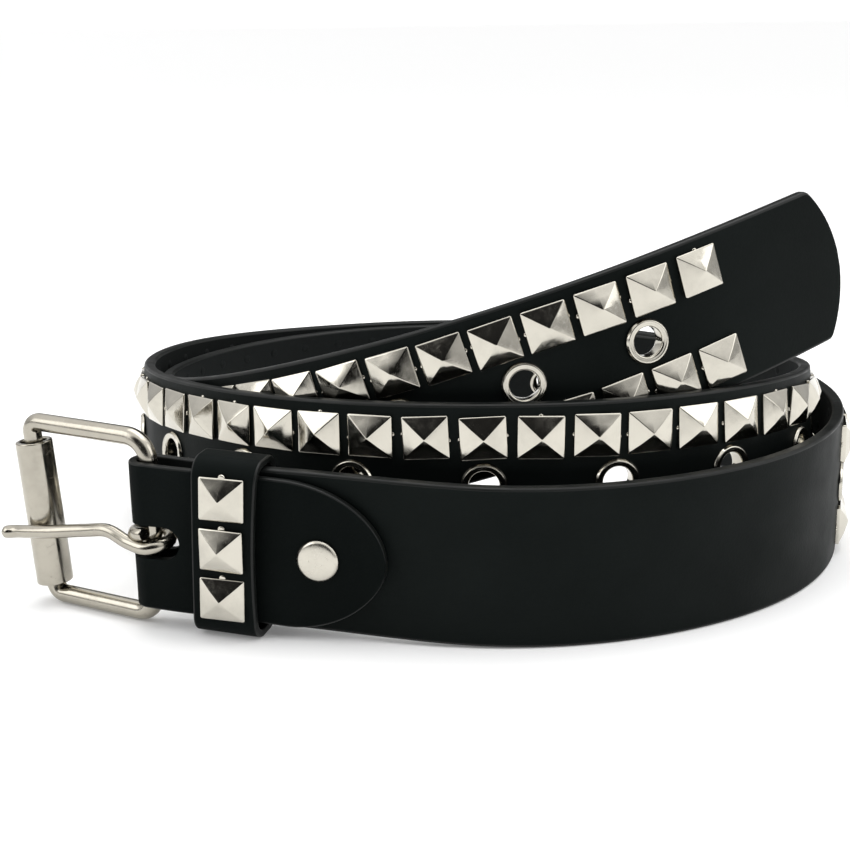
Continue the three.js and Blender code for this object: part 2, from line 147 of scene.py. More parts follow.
# Route of the strap's lower edge: turn, reach as a share of COIL_REACH,
# lift as a share of STRAP_WIDTH, and outward lean in degrees
ROUTE_STEP = 30
ROUTE_START = -136
ROUTE = (
    (-180, 2.21, 0.085, 0),
    (-150, 1.35, 0.085, 0),
    (-120, 0.905, 0.07, 0),
    (-90, 0.915, 0, 0),
    (-60, 0.98, 0, 0),
    (-30, 1.105, 0, 0),
    (0, 1.17, 0, 0),
    (30, 1.15, 0, 0),
    (60, 1.13, 0, 0),
    (90, 1.14, 0, 0),
    (120, 1.175, 0, 0),
    (150, 1.145, 0.13, -1),
    (180, 1.055, 0.24, -4),
    (210, 0.9, 0.35, -5),
    (240, 0.81, 0.41, -3),
    (270, 0.78, 0.44, 1),
    (300, 0.87, 0.43, -2),
    (330, 1.03, 0.4, -5),
    (360, 1.09, 0.23, -3),
    (390, 1.03, 0.06, 0),
    (420, 1.04, 0, 0),
    (450, 1.065, 0, 0),
    (480, 1.085, 0, 1),
    (510, 1.045, 0.04, 1),
    (540, 0.965, 0.14, 0),
    (570, 0.815, 0.36, 0),
    (600, 0.735, 0.63, -1),
    (630, 0.69, 0.88, -3),
    (660, 0.785, 1.17, -5),
    (690, 0.985, 1.52, -5),
    (720, 1.54, 1.98, -2),
    (750, 1.62, 2.5, 0),
)

TIP_STUD = FIRST_STUD + (STUD_COLUMNS - 1) * STUD_PITCH
STRAP_END = TIP_STUD + TIP_MARGIN
CHAPE_OFFSET = STRAP_THICK / 2 + GAP + CHAPE_THICK / 2
KEEPER_DEPTH = STRAP_THICK + 2 * (CHAPE_THICK + 2 * GAP + KEEPER_THICK) + KEEPER_ROOM
BUCKLE_MIDDLE = FLOOR_GAP + FRAME_HEIGHT / 2
UP = Vector((0, 0, 1))

# Leather coating's tint at its gloss
COAT_CAST = (0.86, 1, 0.93, 1)

# Brightness of the surroundings, and the dark directions in them: towards, and the cosines between
# which the dark comes on
HORIZON_LIGHT = 0.5
OVERHEAD_LIGHT = 1.4
BACKDROP_LIGHT = 1.2
FLOOR_GLOW = 0.12
DARK_DIRECTIONS = (((-0.12, -0.9, 0.32), 0.74, 0.86), ((0.2, 0.9, 0.3), 0.84, 0.92))

# Softboxes: name, place, height of the point they face, width, height and power
SOFTBOXES = (
    ("top_softbox", (0.1, 0.15, 0.9), 0.02, 0.9, 0.7, 4),
    ("left_softbox", (-0.75, -0.35, 0.5), 0.03, 0.5, 0.6, 1.6),
    ("right_softbox", (0.8, -0.25, 0.45), 0.03, 0.5, 0.6, 1.4),
)

# Camera: the photograph's side, focal length and optical row in pixels, then its place and angles
PHOTO_SIDE = 850
FOCAL_PIXELS = 1416.5
OPTICAL_ROW = 386
SENSOR_WIDTH = 36
CAMERA_PLACE = Vector((-11.9, -376.4, 139.2)) * MM
CAMERA_PITCH = 0.256
CAMERA_ROLL = -0.01225


# Settings


class BeltSizes(bpy.types.PropertyGroup):
    """Sizes of the fine detail over the solids"""

    edge_round: FloatProperty(
        name="Edge Round", description="Radius of the strap's edges", default=0.75 * MM, unit="LENGTH"
    )
    stud_width: FloatProperty(
        name="Stud Width", description="Stud's width along the strap", default=10.8 * MM, unit="LENGTH"
    )
    stud_height: FloatProperty(
        name="Stud Height", description="Stud's height up the strap", default=10.1 * MM, unit="LENGTH"
    )
    stud_rim: FloatProperty(
        name="Stud Rim", description="Height of a stud's upright rim", default=0.8 * MM, unit="LENGTH"
    )
    stud_rise: FloatProperty(
        name="Stud Rise", description="Height of the pyramid above the rim", default=2.1 * MM, unit="LENGTH"
    )
    stud_play: FloatProperty(
        name="Stud Play", description="Most turn off true", default=math.radians(2.8), subtype="ANGLE"
    )
    eyelet_bore: FloatProperty(
        name="Eyelet Bore", description="Diameter of an eyelet's hole", default=7 * MM, unit="LENGTH"
    )
    eyelet_outer: FloatProperty(
        name="Eyelet Outer", description="Diameter of an eyelet's rim", default=10.9 * MM, unit="LENGTH"
    )
    snap_cap: FloatProperty(
        name="Snap Cap", description="Diameter of the snap's cap", default=9.9 * MM, unit="LENGTH"
    )
    frame_wire: FloatProperty(
        name="Frame Wire", description="Diameter of the frame's wire", default=FRAME_WIRE, unit="LENGTH"
    )
    tongue_wire: FloatProperty(
        name="Tongue Wire", description="Diameter of the tongue's wire", default=3.2 * MM, unit="LENGTH"
    )
    wire_sides: IntProperty(name="Wire Sides", description="Sides of a wire's section", default=28, min=8)
    seed: IntProperty(name="Seed", description="Seed of the studs' small turns", default=7)


class BeltColours(bpy.types.PropertyGroup):
    """Colours of the finishes"""

    leather: FloatVectorProperty(
        name="Leather", description="Coated leather", default=(0.0027, 0.0037, 0.0036), subtype="COLOR"
    )
    # Colour of the edges: lighter than the leather's, a painted sheen on the edges over the edge paint
    edge: FloatVectorProperty(
        name="Edge Paint And Sheen", description="Leather's edges", default=(0.0055, 0.0066, 0.006), subtype="COLOR"
    )
    nickel: FloatVectorProperty(
        name="Nickel", description="Plate of the studs and snap", default=(0.54, 0.515, 0.45), subtype="COLOR"
    )
    buckle: FloatVectorProperty(
        name="Buckle Plate", description="Plate of the buckle", default=(0.4, 0.375, 0.32), subtype="COLOR"
    )
    floor: FloatVectorProperty(name="Floor", description="Floor", default=(0.92, 0.92, 0.92), subtype="COLOR")


# Route of the strap


def route_point(turn):
    """The strap's lower edge and its lean at a turn, in degrees."""
    place = (turn - ROUTE[0][0]) / ROUTE_STEP
    row = min(max(math.floor(place), 1), len(ROUTE) - 3)
    t = place - row
    weights = (
        (1 - t) ** 3 / 6,
        (3 * t**3 - 6 * t**2 + 4) / 6,
        (-3 * t**3 + 3 * t**2 + 3 * t + 1) / 6,
        t**3 / 6,
    )
    point = Vector((0, 0, 0))
    lean = 0
    for weight, (angle, reach, lift, tilt) in zip(weights, ROUTE[row - 1 : row + 3]):
        angle = math.radians(angle)
        out = Vector((math.cos(angle) * reach, math.sin(angle) * reach, 0)) * COIL_REACH
        point += weight * (out + UP * lift * STRAP_WIDTH)
        lean += weight * tilt
    return point, math.radians(lean)


def route_lengths():
    """Lengths along the route from the buckle's rear bar, one for each degree."""
    lengths = [0]
    turn = ROUTE_START
    while lengths[-1] < STRAP_END + STUD_PITCH:
        step = (route_point(turn + 1)[0] - route_point(turn)[0]).length
        lengths.append(lengths[-1] + step)
        turn += 1
    return lengths


LENGTHS = route_lengths()


def turn_at(length):
    """The turn at a length from the rear bar."""
    low = min(max(bisect_right(LENGTHS, length) - 1, 0), len(LENGTHS) - 2)
    return ROUTE_START + low + (length - LENGTHS[low]) / (LENGTHS[low + 1] - LENGTHS[low])


def raw_frame(length):
    """The strap's middle, along, out and up, before the coil is centred."""
    turn = turn_at(length)
    point, lean = route_point(turn)
    along = (route_point(turn + 0.5)[0] - route_point(turn - 0.5)[0]).normalized()
    level = along.cross(UP).normalized()
    upright = level.cross(along)
    up = upright * math.cos(lean) + level * math.sin(lean)
    out = level * math.cos(lean) - upright * math.sin(lean)
    return point + up * STRAP_WIDTH / 2, along, out, up


def coil_shift():
    """From the route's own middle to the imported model's origin, read from the frame's hinge."""
    hinges = frame["record"]["behaviour"]["joints"]
    bar = next(joint["pos_m"] for joint in hinges if joint["name"] == "frame_swing")
    shift = Vector(bar) - raw_frame(0)[0]
    shift.z = 0
    return shift


SHIFT = coil_shift()


def strap_frame(length):
    """The strap's middle, along, out and up at a length, in the model's frame."""
    centre, along, out, up = raw_frame(length)
    return centre + SHIFT, along, out, up


def matrix_of(x_axis, y_axis, z_axis, place):
    """A placing matrix from three axes and an origin."""
    matrix = Matrix((x_axis, y_axis, z_axis)).transposed().to_4x4()
    matrix.translation = place
    return matrix


def level_place(length, height):
    """Local X along the strap, Y inward and Z up, level at a height."""
    centre, along, _, _ = strap_frame(length)
    level = Vector((along.x, along.y, 0)).normalized()
    return matrix_of(level, UP.cross(level), UP, Vector((centre.x, centre.y, height)))


def outward_place(length, upward=0):
    """Local X along the strap, Y up it and Z out of it, on its middle surface."""
    centre, along, out, up = strap_frame(length)
    return matrix_of(along, up, out, centre + up * upward)


def smoothstep(value, low, high):
    t = min(max((value - low) / (high - low), 0), 1)
    return t * t * (3 - 2 * t)


def eyelet_lengths():
    return [TIP_STUD - (TIP_EYELET_PITCHES + k * EYELET_PITCHES) * STUD_PITCH for k in range(EYELET_COUNT)]


def keeper_place():
    """The loose keeper sits a little turned and tilted, its lower corner on the surface."""
    tilt = math.radians(KEEPER_TILT)
    middle = (KEEPER_HEIGHT * math.cos(tilt) + KEEPER_WIDTH * math.sin(tilt)) / 2
    turn = Matrix.Rotation(math.radians(KEEPER_TURN), 4, "Z")
    return level_place(KEEPER_AT, middle) @ turn @ Matrix.Rotation(tilt, 4, "Y")


def buckle_place():
    """Local Z is the rear bar, and the frame runs out along -X."""
    return level_place(0, BUCKLE_MIDDLE) @ Matrix.Rotation(math.radians(FRAME_TURN), 4, "Z")


# Meshes


def linked(name, data):
    """A new object in the scene."""
    thing = bpy.data.objects.new(name, data)
    bpy.context.scene.collection.objects.link(thing)
    return thing


def finish_mesh(name, mesh, body, nodes, finishes=()):
    """Makes a mesh a named piece that rides on a body and stands for solids."""
    mesh.name = name
    for name_of_finish in finishes:
        mesh.materials.append(finish(name_of_finish))
    piece = linked(name, mesh)
    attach(piece, body)
    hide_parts(*nodes)
    return piece


def mesh_from(name, points, faces, smooth=True):
    mesh = bpy.data.meshes.new(name)
    mesh.from_pydata([tuple(point) for point in points], [], faces)
    mesh.validate()
    if smooth:
        mesh.shade_smooth()
    return mesh


def face_outwards(mesh):
    """Welds a closed mesh and turns its faces outwards."""
    form = bmesh.new()
    form.from_mesh(mesh)
    bmesh.ops.remove_doubles(form, verts=form.verts, dist=1e-7)
    bmesh.ops.recalc_face_normals(form, faces=form.faces)
    form.to_mesh(mesh)
    form.free()


def closed_mesh(name, points, faces):
    """A smooth closed mesh with its faces outwards."""
    mesh = mesh_from(name, points, faces)
    face_outwards(mesh)
    return mesh


def in_mm(*points, start=(0, 0)):
    """Profile points given in millimetres from a start in metres."""
    return [(start[0] + x * MM, start[1] + y * MM) for x, y in points]


def axes_of(place):
    return [place.col[k].to_3d() for k in range(3)]


def weigh_normals(piece):
    """Keeps wide faces flat beside narrow rounded ones."""
    weighted = piece.modifiers.new("Flat Faces", "WEIGHTED_NORMAL")
    weighted.mode = "FACE_AREA"
    weighted.weight = 60
    weighted.keep_sharp = True


def between_rings(first, second, count):
    """Faces between two rings of points that start at two numbers."""
    pairs = [(k, (k + 1) % count) for k in range(count)]
    return [(first + k, second + k, second + after, first + after) for k, after in pairs]


def up_rings(first, count, rows):
    """Faces up through rows of rings, from the first ring's number."""
    faces = []
    for start in range(first, first + rows * count, count):
        for k in range(count):
            after = (k + 1) % count
            faces.append((start + k, start + after, start + count + after, start + count + k))
    return faces


def prism(low, high):
    """A closed prism between two rings of points, for cutting."""
    total = len(low)
    return low + high, up_rings(0, total, 1) + [tuple(reversed(range(total))), tuple(range(total, 2 * total))]


def lathe(profile, sides, place=Matrix.Identity(4), notch=0):
    """A closed ring turned about local Z; notch deepens one seam line."""
    points, faces = [], []
    count = len(profile)
    for k in range(sides):
        angle = math.tau * k / sides
        turn = Vector((math.cos(angle), math.sin(angle), 0))
        depth = notch if k == 0 else 0
        points += [place @ (turn * (radius - depth) + UP * height) for radius, height in profile]
        faces += between_rings(k * count, (k + 1) % sides * count, count)
    return points, faces


def joined(parts):
    """Joins several (points, faces) lists."""
    points, faces = [], []
    for more_points, more_faces in parts:
        start = len(points)
        points += more_points
        faces += [tuple(start + k for k in face) for face in more_faces]
    return points, faces


def rounded_section(half, thick, edge, rows):
    """A flat section's outline as (out, up), from the outer face's foot round."""
    radius = min(edge, thick / 2 - 0.02 * MM, half * 0.6)
    outline = []
    for corner, (side, end) in enumerate(((1, -1), (1, 1), (-1, 1), (-1, -1))):
        centre = Vector((side * (thick / 2 - radius), end * (half - radius)))
        for k in range(EDGE_STEPS + 1):
            angle = (corner - 1 + k / EDGE_STEPS) * math.pi / 2
            outline.append(centre + radius * Vector((math.cos(angle), math.sin(angle))))
        if corner in (0, 2):
            direction = 1 if corner == 0 else -1
            for share in rows:
                outline.append(Vector((side * thick / 2, direction * share * (half - radius))))
    return outline


def band(stations, thick, edge, rows):
    """A closed flat band through stations of (centre, out, up, half, push), push a function of height."""
    points = []
    for centre, out, up, half, push in stations:
        for across, along in rounded_section(half, thick, edge, rows):
            points.append(centre + out * (across + (push(along) if push else 0)) + up * along)
    count = len(points) // len(stations)
    faces = []
    for start in range(0, (len(stations) - 1) * count, count):
        faces += between_rings(start, start + count, count)
    faces.append(tuple(range(count)))
    last = (len(stations) - 1) * count
    faces.append(tuple(last + k for k in reversed(range(count))))
    return points, faces, count


def paint_band(mesh, count, rows, outer=0, inner=2):
    """Gives a band's narrow edges the second material, and its two faces the first and third."""
    side = EDGE_STEPS + 1 + len(rows)
    for polygon in mesh.polygons:
        if len(polygon.vertices) != 4:
            polygon.material_index = 1
            continue
        slot = polygon.vertices[0] % count
        if slot < EDGE_STEPS or side <= slot < side + 2 * EDGE_STEPS + 1 or slot > 2 * side + EDGE_STEPS:
            polygon.material_index = 1
        else:
            polygon.material_index = inner if slot > side else outer


def cut_with(piece, points, faces):
    """Cuts a closed cutter out of a piece and leaves a plain mesh."""
    mesh = mesh_from("cutter", points, faces, smooth=False)
    face_outwards(mesh)
    cutter = linked("cutter", mesh)
    cut = piece.modifiers.new("Cut", "BOOLEAN")
    cut.operation = "DIFFERENCE"
    cut.solver = "EXACT"
    cut.object = cutter
    graph = bpy.context.evaluated_depsgraph_get()
    result = bpy.data.meshes.new_from_object(piece.evaluated_get(graph))
    piece.modifiers.remove(cut)
    name = piece.data.name
    piece.data = result
    result.name = name
    bpy.data.objects.remove(cutter)


def bore(place, radius, reach):
    """A closed drum about local Z, for cutting."""
    angles = [math.tau * k / BORE_SIDES for k in range(BORE_SIDES)]
    outline = [(radius * math.cos(angle), radius * math.sin(angle)) for angle in angles]
    return prism(*([place @ Vector((x, y, end)) for x, y in outline] for end in (-reach, reach)))


# Nodes


def added(tree, kind, inputs=(), **settings):
    """A node with its settings, and its inputs by name or number, each a socket or a value."""
    node = tree.nodes.new(kind)
    for name, value in settings.items():
        setattr(node, name, value)
    for name, value in dict(inputs).items():
        if isinstance(value, bpy.types.NodeSocket):
            tree.links.new(value, node.inputs[name])
        else:
            node.inputs[name].default_value = value
    return node


def new_tree(name, inputs):
    """A geometry node tree with a geometry input, the named inputs and a geometry output."""
    tree = bpy.data.node_groups.new(name, "GeometryNodeTree")
    tree.interface.new_socket("Geometry", in_out="OUTPUT", socket_type="NodeSocketGeometry")
    for label, kind in {"Geometry": "Geometry", **inputs}.items():
        tree.interface.new_socket(label, in_out="INPUT", socket_type="NodeSocket" + kind)
    return tree, added(tree, "NodeGroupInput").outputs


def point_value(tree, name, kind):
    """A value that the points carry by name."""
    return added(tree, "GeometryNodeInputNamedAttribute", {"Name": name}, data_type=kind).outputs["Attribute"]


def painted_result(tree, geometry, material):
    """Ends a tree with real, painted geometry."""
    real = added(tree, "GeometryNodeRealizeInstances", {"Geometry": geometry})
    painted = {"Geometry": real.outputs["Geometry"], "Material": material}
    paint = added(tree, "GeometryNodeSetMaterial", painted)
    added(tree, "NodeGroupOutput", {"Geometry": paint.outputs["Geometry"]})
    return tree


def scatter_tree():
    """Sets a part on each point, turned by the point's out and along vectors, with a little play."""
    inputs = {"Part": "Object", "Material": "Material", "Size": "Float", "Play": "Float", "Seed": "Int"}
    tree, given = new_tree("Set On Strap", inputs)
    part = added(tree, "GeometryNodeObjectInfo", {"Object": given["Part"]})
    align = "FunctionNodeAlignRotationToVector"
    outward = added(tree, align, {"Vector": point_value(tree, "out", "FLOAT_VECTOR")}, axis="Z")
    along = {"Rotation": outward.outputs["Rotation"], "Vector": point_value(tree, "along", "FLOAT_VECTOR")}
    lengthwise = added(tree, align, along, axis="X", pivot_axis="Z")
    limits = {"Min": (-1, -1, -1), "Max": (1, 1, 1), "Seed": given["Seed"]}
    play = added(tree, "FunctionNodeRandomValue", limits, data_type="FLOAT_VECTOR")
    scaled = {0: play.outputs["Value"], "Scale": given["Play"]}
    spin = added(tree, "ShaderNodeVectorMath", scaled, operation="SCALE")
    turns = {"Rotation": lengthwise.outputs["Rotation"], "Rotate By": spin.outputs["Vector"]}
    turned = added(tree, "FunctionNodeRotateRotation", turns, rotation_space="LOCAL")
    set_on = {"Points": given["Geometry"], "Instance": part.outputs["Geometry"]}
    set_on |= {"Rotation": turned.outputs["Rotation"], "Scale": given["Size"]}
    copies = added(tree, "GeometryNodeInstanceOnPoints", set_on)
    return painted_result(tree, copies.outputs["Instances"], given["Material"])


def wire_tree():
    """Sweeps a round wire along the edges of a path mesh."""
    tree, given = new_tree("Round Wire", {"Diameter": "Float", "Sides": "Int", "Material": "Material"})
    path = added(tree, "GeometryNodeMeshToCurve", {"Mesh": given["Geometry"]})
    size = {"Radius": maths(tree, "MULTIPLY", given["Diameter"], 0.5), "Resolution": given["Sides"]}
    section = added(tree, "GeometryNodeCurvePrimitiveCircle", size)
    swept = {"Curve": path.outputs["Curve"], "Profile Curve": section.outputs["Curve"], "Fill Caps": True}
    swept["Scale"] = point_value(tree, "thickness", "FLOAT")
    sweep = added(tree, "GeometryNodeCurveToMesh", swept)
    smooth = added(tree, "GeometryNodeSetShadeSmooth", {"Geometry": sweep.outputs["Mesh"]})
    return painted_result(tree, smooth.outputs["Geometry"], given["Material"])


def grown(tree, mesh, values):
    """The plain mesh that a tree makes from a mesh."""
    holder = linked("holder", mesh)
    modifier = holder.modifiers.new("Grow", "NODES")
    modifier.node_group = tree
    for item in tree.interface.items_tree:
        if item.item_type == "SOCKET" and item.in_out == "INPUT" and item.name in values:
            modifier[item.identifier] = values[item.name]
    graph = bpy.context.evaluated_depsgraph_get()
    made = bpy.data.meshes.new_from_object(holder.evaluated_get(graph))
    bpy.data.objects.remove(holder)
    if not made.polygons:
        raise RuntimeError(f"{tree.name} made no faces")
    return made


def scattered(name, places, part_mesh, finish_name, play, seed, size=1.0):
    """Copies of a part at each placing matrix, as one plain mesh."""
    mesh = bpy.data.meshes.new(name + "_places")
    mesh.from_pydata([tuple(place.translation) for place in places], [], [])
    for label, column in (("out", 2), ("along", 0)):
        attribute = mesh.attributes.new(label, "FLOAT_VECTOR", "POINT")
        for k, place in enumerate(places):
            attribute.data[k].vector = place.col[column].to_3d()
    part = linked(name + "_part", part_mesh)
    values = {"Part": part, "Material": finish(finish_name), "Size": size, "Play": play, "Seed": seed}
    made = grown(scatter_tree(), mesh, values)
    bpy.data.objects.remove(part)
    return made


def wire(name, points, diameter, sides, closed=False, thickness=None):
    """A round wire through points, as one plain mesh."""
    count = len(points)
    edges = [(k, k + 1) for k in range(count - 1)] + ([(count - 1, 0)] if closed else [])
    mesh = bpy.data.meshes.new(name + "_path")
    mesh.from_pydata([tuple(point) for point in points], edges, [])
    attribute = mesh.attributes.new("thickness", "FLOAT", "POINT")
    for k in range(count):
        attribute.data[k].value = thickness[k] if thickness else 1
    values = {"Diameter": diameter, "Sides": sides, "Material": finish("buckle_nickel")}
    return grown(wire_tree(), mesh, values)


# Finishes


def new_material(name, colour, roughness, metallic=0.0, specular=0.5):
    """A new material's node tree and shader."""
    material = bpy.data.materials.new(name)
    material.use_nodes = True
    shader = material.node_tree.nodes["Principled BSDF"]
    shader.inputs["Base Color"].default_value = (*colour, 1)
    shader.inputs["Roughness"].default_value = roughness
    shader.inputs["Metallic"].default_value = metallic
    shader.inputs["Specular IOR Level"].default_value = specular
    material.diffuse_color = (*colour, 1)
    return material.node_tree, shader


def noise(tree, scale, detail=3.0, roughness=0.5, distortion=0.0):
    shape = {"Scale": scale, "Detail": detail, "Roughness": roughness, "Distortion": distortion}
    shape["Vector"] = added(tree, "ShaderNodeTexCoord").outputs["Object"]
    return added(tree, "ShaderNodeTexNoise", shape).outputs["Fac"]


def cells(tree, scale):
    place = added(tree, "ShaderNodeTexCoord").outputs["Object"]
    return added(tree, "ShaderNodeTexVoronoi", {"Scale": scale, "Vector": place}).outputs["Distance"]


def ranged(tree, value, low, high, to_low, to_high):
    limits = {"Value": value, "From Min": low, "From Max": high, "To Min": to_low, "To Max": to_high}
    return added(tree, "ShaderNodeMapRange", limits).outputs["Result"]


def maths(tree, operation, first, second):
    return added(tree, "ShaderNodeMath", {0: first, 1: second}, operation=operation).outputs[0]


def blended(tree, fac, dark, light):
    colours = {"Factor": fac, "A": (*dark, 1), "B": (*light, 1)}
    return added(tree, "ShaderNodeMix", colours, data_type="RGBA").outputs["Result"]


def bumped(tree, shader, *layers):
    """Stacks bump layers of (height, strength, distance)."""
    normal = None
    for height, strength, distance in layers:
        layer = {"Height": height, "Strength": strength, "Distance": distance}
        if normal:
            layer["Normal"] = normal
        normal = added(tree, "ShaderNodeBump", layer).outputs["Normal"]
    tree.links.new(normal, shader.inputs["Normal"])


def coated_leather(name, colour, roughness, grain, specular):
    """Smooth coated leather: fine pebble, soft unevenness and a patchy sheen."""
    tree, shader = new_material(name, colour, roughness, specular=specular)
    sheen = ranged(tree, noise(tree, 60, 4, 0.6), 0.3, 0.7, roughness - 0.05, roughness + 0.07)
    tree.links.new(sheen, shader.inputs["Roughness"])
    light = [channel * 1.5 + 0.001 for channel in colour]
    patches = ranged(tree, noise(tree, 25, 3), 0.35, 0.7, 0, 1)
    tree.links.new(blended(tree, patches, colour, light), shader.inputs["Base Color"])
    shader.inputs["Specular Tint"].default_value = COAT_CAST
    unevenness = (noise(tree, 45, 2), 0.25, 0.6 * MM)
    pebble = (cells(tree, 1500), grain, 0.06 * MM)
    bumped(tree, shader, unevenness, pebble, (noise(tree, 3200, 3, 0.6), grain * 0.7, 0.03 * MM))


def painted_edge(name, colour):
    """Edge paint: a smooth, slightly wavy bead with a brighter sheen, on a colour lighter than the leather's
    that is a painted sheen.
    """
    tree, shader = new_material(name, colour, 0.42, specular=0.25)
    tree.links.new(ranged(tree, noise(tree, 140, 4), 0.3, 0.7, 0.36, 0.55), shader.inputs["Roughness"])
    bumped(tree, shader, (noise(tree, 260, 3, 0.6), 0.3, 0.12 * MM), (noise(tree, 2500, 2), 0.15, 0.03 * MM))


def fibre_lining(name, colour):
    """The strap's inner face: matt pressed fibre with a faint nap."""
    tree, shader = new_material(name, colour, 0.72, specular=0.15)
    light = [channel * 1.9 + 0.001 for channel in colour]
    tree.links.new(blended(tree, noise(tree, 700, 5, 0.7), colour, light), shader.inputs["Base Color"])
    bumped(tree, shader, (noise(tree, 1400, 4, 0.7), 0.4, 0.08 * MM), (noise(tree, 90, 2), 0.2, 0.4 * MM))


def plated(name, colour, roughness, wear):
    """Nickel plate: bright, with fine scuffs and a faint waviness from pressing."""
    tree, shader = new_material(name, colour, roughness, metallic=1)
    dull = [channel * 0.86 for channel in colour]
    clouds = ranged(tree, noise(tree, 160, 5, 0.65), 0.45, 0.75, 0, 1)
    tree.links.new(blended(tree, clouds, colour, dull), shader.inputs["Base Color"])
    scuffs = ranged(tree, noise(tree, 420, 6, 0.7, 0.8), 0.4, 0.75, roughness, roughness + wear)
    tree.links.new(scuffs, shader.inputs["Roughness"])
    bumped(tree, shader, (noise(tree, 210, 2), 0.18, 0.1 * MM), (noise(tree, 1900, 4, 0.6), 0.05, 0.03 * MM))


# Each finish: its maker, its colour in the settings, and the maker's own values
FINISHES = {
    "strap_coating": (coated_leather, "leather", 0.5, 0.3, 0.07),
    "chape_coating": (coated_leather, "leather", 0.52, 0.34, 0.035),
    # Edge paint, its colour lighter than the leather's as a painted sheen on the edges
    "edge_paint": (painted_edge, "edge"),
    "strap_lining": (fibre_lining, "leather"),
    "stud_nickel": (plated, "nickel", 0.08, 0.14),
    "eyelet_nickel": (plated, "nickel", 0.1, 0.16),
    "snap_nickel": (plated, "nickel", 0.22, 0.1),
    "buckle_nickel": (plated, "buckle", 0.13, 0.2),
}


def finish(name):
    """A finish by its name, made when the first piece asks for it."""
    if name not in bpy.data.materials:
        make, colour, *values = FINISHES[name]
        make(name, getattr(bpy.context.scene.belt_colours, colour), *values)
    return bpy.data.materials[name]


# Strap


def tip_half(distance):
    """Half width near the tip: a shallow arc with softened corners."""
    half = STRAP_WIDTH / 2
    radius = (half**2 + TIP_ROUND**2) / (2 * TIP_ROUND)
    arc = math.sqrt(max(radius**2 - (radius - min(distance, radius)) ** 2, 0))
    soft = 0.5 * MM
    if arc > half + soft:
        return half
    excess = math.exp((arc - half) / soft * 1.6)
    return arc - soft / 1.6 * math.log(1 + excess)


def strap_stations():
    stations = []
    count = round((STRAP_END - TIP_RUN - STRAP_START) / (2 * MM))
    lengths = [STRAP_START + k * (STRAP_END - TIP_RUN - STRAP_START) / count for k in range(count + 1)]
    near = 22
    lengths += [STRAP_END - TIP_RUN * math.cos(k / near * math.pi / 2) ** 1.6 for k in range(1, near)]
    lengths.append(STRAP_END - TIP_LAST)
    for length in lengths:
        centre, _, out, up = strap_frame(length)
        half = STRAP_WIDTH / 2
        if length > STRAP_END - TIP_RUN:
            half = max(tip_half(STRAP_END - length), TIP_LEAST)
        stations.append((centre, out, up, half, None))
    return stations


STRAP_ROWS = (-0.74, -0.5, -0.27, 0.27, 0.5, 0.74)


class BELT_OT_strap(bpy.types.Operator):
    """Make the strap with its painted edges, lining and eyelet holes"""

    bl_idname = "belt.strap"
    bl_label = "Strap"

    def execute(self, context):
        sizes = context.scene.belt_sizes
        points, faces, count = band(strap_stations(), STRAP_THICK, sizes.edge_round, STRAP_ROWS)
        mesh = mesh_from("strap_leather", points, faces)
        paint_band(mesh, count, STRAP_ROWS)
        finishes = ("strap_coating", "edge_paint", "strap_lining")
        piece = finish_mesh("strap_leather", mesh, "belt", ["strap"], finishes)
        radius = sizes.eyelet_bore / 2 + BORE_ROOM
        cuts = [bore(outward_place(length), radius, BORE_REACH) for length in eyelet_lengths()]
        cut_with(piece, *joined(cuts))
        weigh_normals(piece)
        return {"FINISHED"}


# Studs


def stud_ring(half_x, half_y, height, cut, bulge=None):
    """One level of a stud: two points at each corner and, with a bulge, one in each side's middle."""
    ring = []
    for quarter in range(4):
        reach, other = (half_x, half_y) if quarter % 2 == 0 else (half_y, half_x)
        turn = Matrix.Rotation(quarter * math.pi / 2, 3, "Z")
        ring.append(turn @ Vector((reach, cut - other, height)))
        if bulge is not None:
            ring.append(turn @ Vector((reach + bulge, 0, height)))
        ring.append(turn @ Vector((reach, other - cut, height)))
    return ring


def stud_part(sizes):
    """A pressed pyramid stud: an upright skirt, a thin lip, and four pillowed facets."""
    half_x, half_y = sizes.stud_width / 2, sizes.stud_height / 2
    rim, rise = sizes.stud_rim, sizes.stud_rise
    plain = [
        stud_ring(half_x - 0.12 * MM, half_y - 0.12 * MM, -0.45 * MM, 0.35 * MM),
        stud_ring(half_x, half_y, rim - 0.25 * MM, 0.3 * MM),
        stud_ring(half_x - 0.12 * MM, half_y - 0.12 * MM, rim, 0.26 * MM),
    ]
    full = [
        stud_ring(half_x - 0.42 * MM, half_y - 0.42 * MM, rim + 0.06 * MM, 0.24 * MM, 0),
        stud_ring(half_x * 0.53, half_y * 0.53, rim + rise * 0.56, 0.2 * MM, 0.2 * MM),
        stud_ring(0.2 * MM, 0.2 * MM, rim + rise, 0.14 * MM, 0.04 * MM),
    ]
    points = [point for ring in plain + full for point in ring]
    faces = up_rings(0, 8, 2)
    low, first = 16, 24
    for quarter in range(4):
        side = first + 3 * quarter
        ahead = first + (3 * quarter + 3) % 12
        foot = low + 2 * quarter
        faces.append((foot, foot + 1, side + 2, side + 1, side))
        faces.append((foot + 1, low + (2 * quarter + 2) % 8, ahead, side + 2))
    faces += up_rings(first, 12, 2)
    faces.append(tuple(range(first + 24, first + 36)))
    return mesh_from("stud_part", points, faces)


def root_part():
    """The root of a prong, a half-round tab that shows beside its stud."""
    arc = [math.pi * k / 6 for k in range(7)]
    outline = [Vector((0.6 * math.cos(a), 0.55 * math.sin(a))) * MM for a in arc]
    outline = [Vector((0.6, -0.5)) * MM, *outline, Vector((-0.6, -0.5)) * MM]
    count = len(outline)
    points = []
    for height, share in ((-0.4, 1), (0.1, 1), (0.3, 0.7)):
        points += [Vector((x * share, y * share, height * MM)) for x, y in outline]
    caps = [tuple(reversed(range(count))), tuple(range(2 * count, 3 * count))]
    return closed_mesh("root_part", points, caps + up_rings(0, count, 2))


